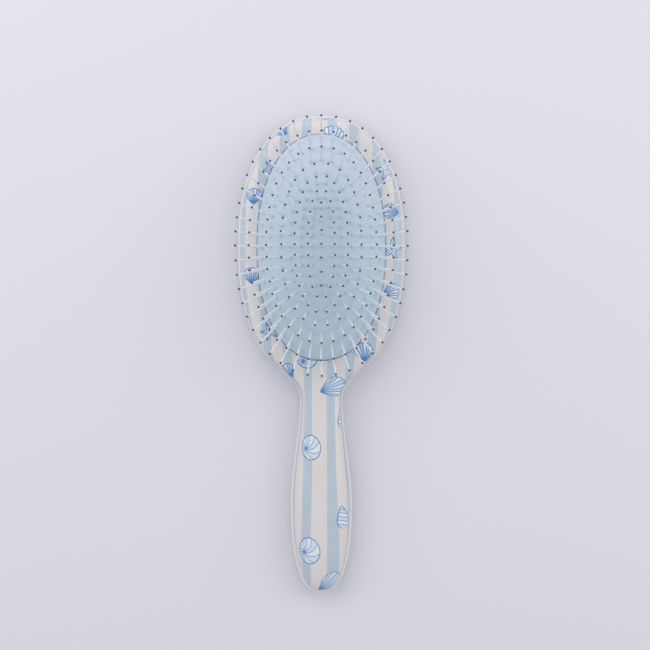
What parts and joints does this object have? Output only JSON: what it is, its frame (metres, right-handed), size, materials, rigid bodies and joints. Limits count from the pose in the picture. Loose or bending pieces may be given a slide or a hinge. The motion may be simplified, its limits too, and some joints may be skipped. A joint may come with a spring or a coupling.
{
  "type": "cushion hair brush",
  "caption": "Oval paddle hair brush with a domed air cushion, rings of ball-tipped pins that press in with it, and a tapered two-shell handle.",
  "frame": {"origin": "on the surface that the brush's back lies on, under the middle of its length and width", "axes": "+X across the brush, +Y along it from the handle's end to the top of the head, +Z out of the pins"},
  "size_m": [0.0858, 0.238, 0.0415],
  "materials": {
    "printed_plastic": "gloss moulded plastic with a printed pattern",
    "inner_plastic": "as moulded",
    "rubber": "satin moulded rubber",
    "nylon": "translucent satin nylon with dipped tips"
  },
  "bodies": {
    "handle": {"front_shell": "printed_plastic", "back_shell": "printed_plastic", "clamp_ring": "inner_plastic", "cushion": "rubber"},
    "pins_centre": {"pin_row_centre": "nylon"},
    "pins_ring_1": {"pin_strip_1_1": "nylon", "pin_strip_1_2": "nylon", "pin_strip_1_3": "nylon", "pin_strip_1_4": "nylon"},
    "pins_ring_2": {"pin_strip_2_1": "nylon", "pin_strip_2_2": "nylon", "pin_strip_2_3": "nylon", "pin_strip_2_4": "nylon", "pin_strip_2_5": "nylon", "pin_strip_2_6": "nylon"},
    "pins_ring_3": {"pin_strip_3_1": "nylon", "pin_strip_3_2": "nylon", "pin_strip_3_3": "nylon", "pin_strip_3_4": "nylon", "pin_strip_3_5": "nylon", "pin_strip_3_6": "nylon"},
    "pins_ring_4": {"pin_strip_4_1": "nylon", "pin_strip_4_2": "nylon", "pin_strip_4_3": "nylon", "pin_strip_4_4": "nylon", "pin_strip_4_5": "nylon", "pin_strip_4_6": "nylon", "pin_strip_4_7": "nylon", "pin_strip_4_8": "nylon"},
    "pins_ring_5": {"pin_strip_5_1": "nylon", "pin_strip_5_2": "nylon", "pin_strip_5_3": "nylon", "pin_strip_5_4": "nylon", "pin_strip_5_5": "nylon", "pin_strip_5_6": "nylon", "pin_strip_5_7": "nylon", "pin_strip_5_8": "nylon"},
    "pins_ring_6": {"pin_strip_6_1": "nylon", "pin_strip_6_2": "nylon", "pin_strip_6_3": "nylon", "pin_strip_6_4": "nylon", "pin_strip_6_5": "nylon", "pin_strip_6_6": "nylon", "pin_strip_6_7": "nylon", "pin_strip_6_8": "nylon"}
  },
  "joints": [
    {"name": "cushion_press", "type": "slide", "parent": "handle", "child": "pins_centre", "axis": [0, 0, -1], "range_m": [0, 0.0035], "stiffness_N_per_m": 900, "deforming": ["cushion"]},
    {"name": "ring_1_press", "type": "slide", "parent": "handle", "child": "pins_ring_1", "axis": [0, 0, -1], "range_m": [0, 0.00345]},
    {"name": "ring_2_press", "type": "slide", "parent": "handle", "child": "pins_ring_2", "axis": [0, 0, -1], "range_m": [0, 0.00325]},
    {"name": "ring_3_press", "type": "slide", "parent": "handle", "child": "pins_ring_3", "axis": [0, 0, -1], "range_m": [0, 0.00291]},
    {"name": "ring_4_press", "type": "slide", "parent": "handle", "child": "pins_ring_4", "axis": [0, 0, -1], "range_m": [0, 0.00236]},
    {"name": "ring_5_press", "type": "slide", "parent": "handle", "child": "pins_ring_5", "axis": [0, 0, -1], "range_m": [0, 0.00153]},
    {"name": "ring_6_press", "type": "slide", "parent": "handle", "child": "pins_ring_6", "axis": [0, 0, -1], "range_m": [0, 0.0006]}
  ],
  "couplings": [
    {"joint": "ring_1_press", "follows": "cushion_press", "ratio": 0.983},
    {"joint": "ring_2_press", "follows": "cushion_press", "ratio": 0.926},
    {"joint": "ring_3_press", "follows": "cushion_press", "ratio": 0.831},
    {"joint": "ring_4_press", "follows": "cushion_press", "ratio": 0.674},
    {"joint": "ring_5_press", "follows": "cushion_press", "ratio": 0.436},
    {"joint": "ring_6_press", "follows": "cushion_press", "ratio": 0.17}
  ]
}
